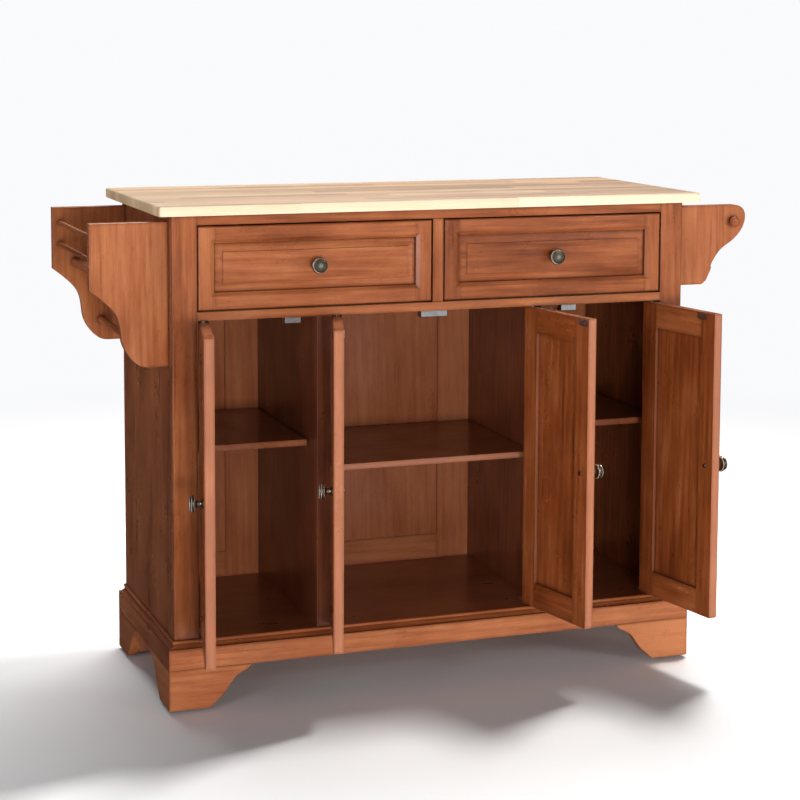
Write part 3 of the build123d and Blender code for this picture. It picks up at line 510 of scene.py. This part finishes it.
def dress(node, material, eased_edge=EASED_EDGE):
    """A copy of a node with eased edges, in which each board has a grain of its own."""
    mesh = bmesh.new()
    mesh.from_mesh(nodes[node].data)
    bmesh.ops.remove_doubles(mesh, verts=mesh.verts, dist=WELD)
    bmesh.ops.dissolve_limit(mesh, angle_limit=FLAT_ANGLE, verts=mesh.verts, edges=mesh.edges)
    layers = {
        name: mesh.verts.layers.float_vector.new(name) for name in ("grain", "board_place", "board_half")
    }
    tint_and_shade_layer = mesh.verts.layers.float.new("tint_and_shade")
    edge_layer = mesh.faces.layers.float.new("edge_face")
    turn = closed_turn(node)
    for piece in islands(mesh):
        points = [turn @ v.co for v in piece]
        low = Vector(min(p[axis] for p in points) for axis in range(3))
        high = Vector(max(p[axis] for p in points) for axis in range(3))
        centre, half = (low + high) / 2, (high - low) / 2
        order = board_axes(node, high - low)
        shift = Vector(chance.uniform(-40, 40) for _ in range(3))
        # A random tone for each board, plus its node's entry above: lighter stain on the front spice-rack bracket,
        # painted light and painted shade on the others
        tint_and_shade = chance.uniform(-0.8, 0.8) + NODE_TINT_AND_SHADE.get(node, 0.0)
        for vertex, point in zip(piece, points):
            place = Vector((point - centre)[axis] for axis in order)
            vertex[layers["board_place"]] = place
            vertex[layers["board_half"]] = Vector(half[axis] for axis in order)
            vertex[layers["grain"]] = place + shift
            vertex[tint_and_shade_layer] = tint_and_shade
        # The narrow long faces of a door's or shelf's boards
        if node.startswith(("door_", "shelf_")):
            for face in {f for v in piece for f in v.link_faces}:
                face[edge_layer] = float(abs((turn.to_3x3() @ face.normal)[order[0]]) > 0.7)
    mark_sharp_edges(mesh)
    copy = bpy.data.meshes.new(f"{node}_boards")
    mesh.to_mesh(copy)
    mesh.free()
    piece = add_object(f"{node}_boards", copy)
    eased = piece.modifiers.new("eased", "BEVEL")
    eased.width = eased_edge
    eased.segments = 2
    eased.limit_method = "ANGLE"
    eased.angle_limit = EASED_ANGLE
    eased.use_clamp_overlap = True
    level = piece.modifiers.new("level", "WEIGHTED_NORMAL")
    level.keep_sharp = True
    stand_in(piece, node, material)


def turned(node, material):
    """A copy of a turned knob that knows how far each point is from its axis."""
    mesh = nodes[node].data.copy()
    mesh.name = f"{node}_turned"
    turn = closed_turn(node)
    points = [turn @ v.co for v in mesh.vertices]
    across, up = ((min(p[axis] for p in points) + max(p[axis] for p in points)) / 2 for axis in (0, 2))
    away = mesh.attributes.new("away", "FLOAT", "POINT")
    for item, point in zip(away.data, points):
        item.value = math.hypot(point.x - across, point.z - up)
    stand_in(add_object(f"{node}_turned", mesh), node, material)


def repaint(node, material):
    nodes[node].data.materials.clear()
    nodes[node].data.materials.append(material)


for name in sorted(nodes):
    if name == "butcher_block_top":
        dress(name, worktop_wood, WORKTOP_EASED_EDGE)
    elif name.endswith("_knob"):
        turned(name, knob_brass)
    elif name.endswith("_plates") or name in ("magnetic_catches", "shelf_pins"):
        repaint(name, plated_steel)
    elif name == "foot_glides":
        repaint(name, glide_plastic)
    elif name.endswith("_box"):
        dress(name, box_wood)
    elif name in INSIDE:
        dress(name, inside_wood)
    elif name.startswith("door_"):
        dress(name, door_wood)
    elif name.endswith("_front_panel"):
        dress(name, panel_wood)
    else:
        dress(name, front_wood)

# ---------------------------------------------------------------- floor and surroundings

BACKDROP = (0.955, 0.958, 0.975)
FLOOR_RADIUS = 40.0
# The floor's own paint shows inside the first distance, and only the lit sweep beyond the second
SWEEP_STARTS = 1.3
SWEEP_WHOLE = 3.4
WORLD_COLOUR = (0.97, 0.98, 1.0)
WORLD_LIGHT = 0.04
REAR_GLOSS = 0.02
FRONT_GLOSS = 0.40


def stage_floor():
    disc = bmesh.new()
    bmesh.ops.create_circle(disc, cap_ends=True, segments=96, radius=FLOOR_RADIUS)
    mesh = bpy.data.meshes.new("studio_floor")
    disc.to_mesh(mesh)
    disc.free()
    floor = add_object("studio_floor", mesh)
    s = Shader("floor_paint")
    place = s.place()
    cloud = s.noise(place, 1.4, 3.0, 0.5)
    colour = s.ramp(cloud, (0.2, (0.86, 0.862, 0.872)), (0.8, (0.90, 0.902, 0.91)))
    paint = s.finish(colour, s.remap(cloud, 0.3, 0.7, 0.6, 0.75), Specular_IOR_Level=0.1)
    # Far from the cabinet the floor becomes the studio's evenly lit sweep
    sweep = s.node("ShaderNodeEmission", {"Color": (*BACKDROP, 1)}).outputs[0]
    limits = {"Value": s.vector("LENGTH", place), 1: SWEEP_STARTS, 2: SWEEP_WHOLE}
    share = s.node("ShaderNodeMapRange", limits, interpolation_type="SMOOTHSTEP").outputs[0]
    blend = s.node("ShaderNodeMixShader", {0: share, 1: s.surface.outputs[0], 2: sweep})
    s.tree.links.new(blend.outputs[0], s.output.inputs["Surface"])
    mesh.materials.append(paint)
    floor.visible_glossy = False


def studio_world():
    """White where the camera looks at it, dim as a light, and in reflections brightest from the front."""
    world = bpy.data.worlds.new("studio")
    bpy.context.scene.world = world
    world.use_nodes = True
    tree = world.node_tree
    tree.nodes.clear()
    link = tree.links.new
    path = tree.nodes.new("ShaderNodeLightPath")
    place = tree.nodes.new("ShaderNodeTexCoord")
    parts = tree.nodes.new("ShaderNodeSeparateXYZ")
    link(place.outputs["Generated"], parts.inputs[0])
    front = tree.nodes.new("ShaderNodeMapRange")
    front.interpolation_type = "SMOOTHSTEP"
    for index, value in ((1, -0.05), (2, -0.9), (3, REAR_GLOSS), (4, FRONT_GLOSS)):
        front.inputs[index].default_value = value
    link(parts.outputs[1], front.inputs["Value"])

    def background(colour, strength):
        made = tree.nodes.new("ShaderNodeBackground")
        made.inputs["Color"].default_value = (*colour, 1)
        made.inputs["Strength"].default_value = strength
        return made

    def switch(ray, usual, instead):
        made = tree.nodes.new("ShaderNodeMixShader")
        link(path.outputs[ray], made.inputs[0])
        link(usual.outputs[0], made.inputs[1])
        link(instead.outputs[0], made.inputs[2])
        return made

    reflected = background(WORLD_COLOUR, 1.0)
    link(front.outputs[0], reflected.inputs["Strength"])
    unseen = switch("Is Glossy Ray", background(WORLD_COLOUR, WORLD_LIGHT), reflected)
    seen = switch("Is Camera Ray", unseen, background(BACKDROP, 1.0))
    output = tree.nodes.new("ShaderNodeOutputWorld")
    link(seen.outputs[0], output.inputs["Surface"])


# ---------------------------------------------------------------- lights

WARM = (1.0, 0.98, 0.95)


def area_light(name, at, towards, size, watts, colour):
    data = bpy.data.lights.new(name, "AREA")
    data.shape = "RECTANGLE"
    data.size, data.size_y = size
    data.energy = watts
    data.color = colour
    light = add_object(name, data)
    light.location = at
    light.rotation_mode = "QUATERNION"
    light.rotation_quaternion = (Vector(towards) - Vector(at)).to_track_quat("-Z", "Y")
    return light


def hold_steady(light):
    """Light as from a large lamp far off: no weaker with distance."""
    light.data.use_nodes = True
    tree = light.data.node_tree
    falloff = tree.nodes.new("ShaderNodeLightFalloff")
    falloff.inputs["Strength"].default_value = 1.0
    emission = next(n for n in tree.nodes if n.type == "EMISSION")
    tree.links.new(falloff.outputs["Constant"], emission.inputs["Strength"])


def light_studio():
    """A steady light above, a broad one behind it, two low fills, and two lights for highlights."""
    key = area_light("key", (1.03, 0.24, 2.74), (-0.05, 0.0, 0.2), (0.40, 0.40), 8.2, (1.0, 0.985, 0.96))
    hold_steady(key)
    area_light("overhead", (0.3, 1.7, 3.0), (0.0, 0.0, 0.3), (3.2, 2.0), 135.0, (1.0, 0.99, 0.98))
    # The fills would veil the dark wood with grey if they showed in its gloss
    fills = (
        area_light("camera_fill", (-0.75, -4.7, 0.46), (0.0, 0.0, 0.5), (1.0, 0.6), 122.0, WARM),
        area_light("right_fill", (3.3, -2.8, 0.30), (0.2, 0.0, 0.3), (1.4, 0.5), 66.0, WARM),
    )
    for fill in fills:
        fill.visible_glossy = False
    area_light("glint", (1.6, -2.77, 1.35), (0.1, -0.3, 0.7), (0.24, 0.24), 7.0, (1, 1, 1))
    area_light("left_strip", (-2.9, -2.7, 1.15), (0.0, -0.1, 0.6), (1.1, 2.2), 34.0, (0.93, 0.92, 1.0))


# ---------------------------------------------------------------- camera

CAMERA_AT = Vector((-1.3394, -3.5967, 1.2196))
CAMERA_LENS = 91.42
CAMERA_SHIFT = -0.1938
CAMERA_YAW = math.radians(19.897)
CAMERA_PITCH = math.radians(6.001)
CAMERA_ROLL = math.radians(0.225)


def photograph_camera():
    """The photograph's viewing angle, with the shift that its framing needs."""
    data = bpy.data.cameras.new("camera")
    data.sensor_width = 36.0
    data.lens = CAMERA_LENS
    data.shift_y = CAMERA_SHIFT
    data.clip_end = 200.0
    camera = add_object("camera", data)
    up = Vector((0, 0, 1))
    level = Vector((math.sin(CAMERA_YAW), math.cos(CAMERA_YAW), 0))
    ahead = level * math.cos(CAMERA_PITCH) - up * math.sin(CAMERA_PITCH)
    above = up * math.cos(CAMERA_PITCH) + level * math.sin(CAMERA_PITCH)
    beside = Vector((math.cos(CAMERA_YAW), -math.sin(CAMERA_YAW), 0))
    right = beside * math.cos(CAMERA_ROLL) + above * math.sin(CAMERA_ROLL)
    top = above * math.cos(CAMERA_ROLL) - beside * math.sin(CAMERA_ROLL)
    turn = Matrix((right, top, -ahead)).transposed().to_4x4()
    camera.matrix_world = Matrix.Translation(CAMERA_AT) @ turn
    bpy.context.scene.camera = camera


stage_floor()
studio_world()
light_studio()
photograph_camera()
bpy.context.scene.view_settings.view_transform = "Standard"
